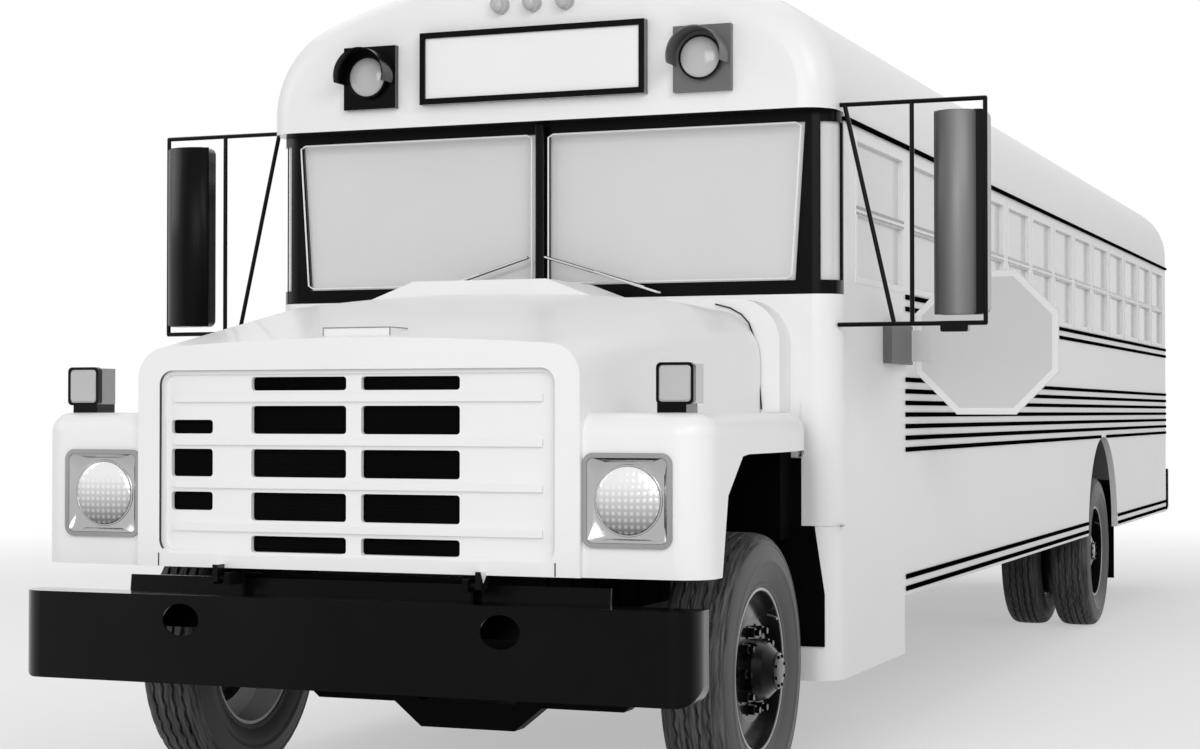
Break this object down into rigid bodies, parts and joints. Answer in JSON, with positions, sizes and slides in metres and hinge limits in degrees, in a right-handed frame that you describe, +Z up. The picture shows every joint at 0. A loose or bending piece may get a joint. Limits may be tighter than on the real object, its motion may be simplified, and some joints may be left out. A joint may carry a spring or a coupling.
{
  "type": "school bus",
  "caption": "Front-engined school bus with a tilting hood, twin-leaf entrance, rear emergency door, swing-out stop arm and steered front wheels.",
  "frame": {"origin": "on the ground, on the centreline, midway between the two bumper faces", "axes": "+Z up, -Y the front of the bus, +X the driver's (left) side"},
  "size_m": [3.665, 11.91, 3.1953],
  "materials": {
    "white_paint": "gloss",
    "black_paint": "satin",
    "grey_paint": "satin",
    "chassis": "satin",
    "cast": "rough",
    "aluminium": "satin",
    "steel": "satin",
    "tyre": "matte",
    "rubber": "matte",
    "glass": "gloss",
    "seat_vinyl": "satin",
    "plastic": "matte",
    "lamp": "gloss",
    "floor": "satin"
  },
  "bodies": {
    "bus": {"frame_rails": "chassis", "cross_members": "chassis", "hood_hinges": "chassis", "engine_block": "cast", "radiator": "aluminium", "front_axle_beam": "cast", "leaf_springs": "chassis", "rear_axle": "cast", "fuel_tank": "steel", "front_bumper": "black_paint", "rear_bumper": "black_paint", "floor": "floor", "left_side_wall": "white_paint", "right_side_wall": "white_paint", "entrance_panel": "white_paint", "front_wall": "white_paint", "windshield_frame": "white_paint", "roof": "white_paint", "front_cap": "white_paint", "rear_wall": "white_paint", "window_sashes": "aluminium", "body_glass": "glass", "rub_rails": "black_paint", "splash_guards": "rubber", "bench_seats": "seat_vinyl", "driver_seat": "seat_vinyl", "dashboard": "plastic", "sign_box": "white_paint", "warning_lamps": "lamp", "rear_lamps": "lamp", "mirrors": "grey_paint", "stop_bracket": "grey_paint"},
    "left_steer": {"left_knuckle": "cast"},
    "right_steer": {"right_knuckle": "cast"},
    "track_rod": {"tie_rod": "steel"},
    "front_left": {"front_tyre_left": "tyre", "front_wheel_left": "black_paint"},
    "front_right": {"front_tyre_right": "tyre", "front_wheel_right": "black_paint"},
    "rear_left": {"rear_tyres_left": "tyre", "rear_wheels_left": "black_paint"},
    "rear_right": {"rear_tyres_right": "tyre", "rear_wheels_right": "black_paint"},
    "hood_lid": {"hood": "white_paint", "grille": "white_paint", "headlamps": "lamp", "turn_signals": "lamp"},
    "entrance_front": {"entrance_leaf_front": "black_paint", "entrance_glass_front": "glass"},
    "entrance_rear": {"entrance_leaf_rear": "black_paint", "entrance_glass_rear": "glass"},
    "back_door": {"rear_door": "white_paint", "rear_door_glass": "glass"},
    "stop_arm": {"stop_sign": "grey_paint"}
  },
  "joints": [
    {"name": "steer_left", "type": "hinge", "parent": "bus", "child": "left_steer", "pos_m": [0.845, -4.875, 0.487], "axis": [0, 0, 1], "range_deg": [-32, 32]},
    {"name": "steer_right", "type": "hinge", "parent": "bus", "child": "right_steer", "pos_m": [-0.845, -4.875, 0.487], "axis": [0, 0, 1], "range_deg": [-32, 32]},
    {"name": "track_rod_turn", "type": "hinge", "parent": "left_steer", "child": "track_rod", "pos_m": [0.845, -4.665, 0.487], "axis": [0, 0, 1], "range_deg": [-32, 32]},
    {"name": "front_left_spin", "type": "hinge", "parent": "left_steer", "child": "front_left", "pos_m": [1.022, -4.875, 0.487], "axis": [1, 0, 0], "continuous": true},
    {"name": "front_right_spin", "type": "hinge", "parent": "right_steer", "child": "front_right", "pos_m": [-1.022, -4.875, 0.487], "axis": [1, 0, 0], "continuous": true},
    {"name": "rear_left_spin", "type": "hinge", "parent": "bus", "child": "rear_left", "pos_m": [1.065, 2.455, 0.487], "axis": [1, 0, 0], "continuous": true},
    {"name": "rear_right_spin", "type": "hinge", "parent": "bus", "child": "rear_right", "pos_m": [-1.065, 2.455, 0.487], "axis": [1, 0, 0], "continuous": true},
    {"name": "hood_tilt", "type": "hinge", "parent": "bus", "child": "hood_lid", "pos_m": [0, -5.881, 0.838], "axis": [1, 0, 0], "range_deg": [0, 65]},
    {"name": "entrance_front_swing", "type": "hinge", "parent": "bus", "child": "entrance_front", "pos_m": [-1.228, -3.982, 0.4], "axis": [0, 0, 1], "range_deg": [0, 85]},
    {"name": "entrance_rear_swing", "type": "hinge", "parent": "bus", "child": "entrance_rear", "pos_m": [-1.228, -3.208, 0.4], "axis": [0, 0, -1], "range_deg": [0, 85]},
    {"name": "back_door_swing", "type": "hinge", "parent": "bus", "child": "back_door", "pos_m": [-0.367, 5.844, 0.985], "axis": [0, 0, 1], "range_deg": [0, 95]},
    {"name": "stop_arm_swing", "type": "hinge", "parent": "bus", "child": "stop_arm", "pos_m": [1.239, -3.093, 1.697], "axis": [0, 0, 1], "range_deg": [0, 90]}
  ],
  "couplings": [
    {"joint": "steer_right", "follows": "steer_left", "ratio": 1},
    {"joint": "track_rod_turn", "follows": "steer_left", "ratio": -1},
    {"joint": "entrance_rear_swing", "follows": "entrance_front_swing", "ratio": 1}
  ]
}
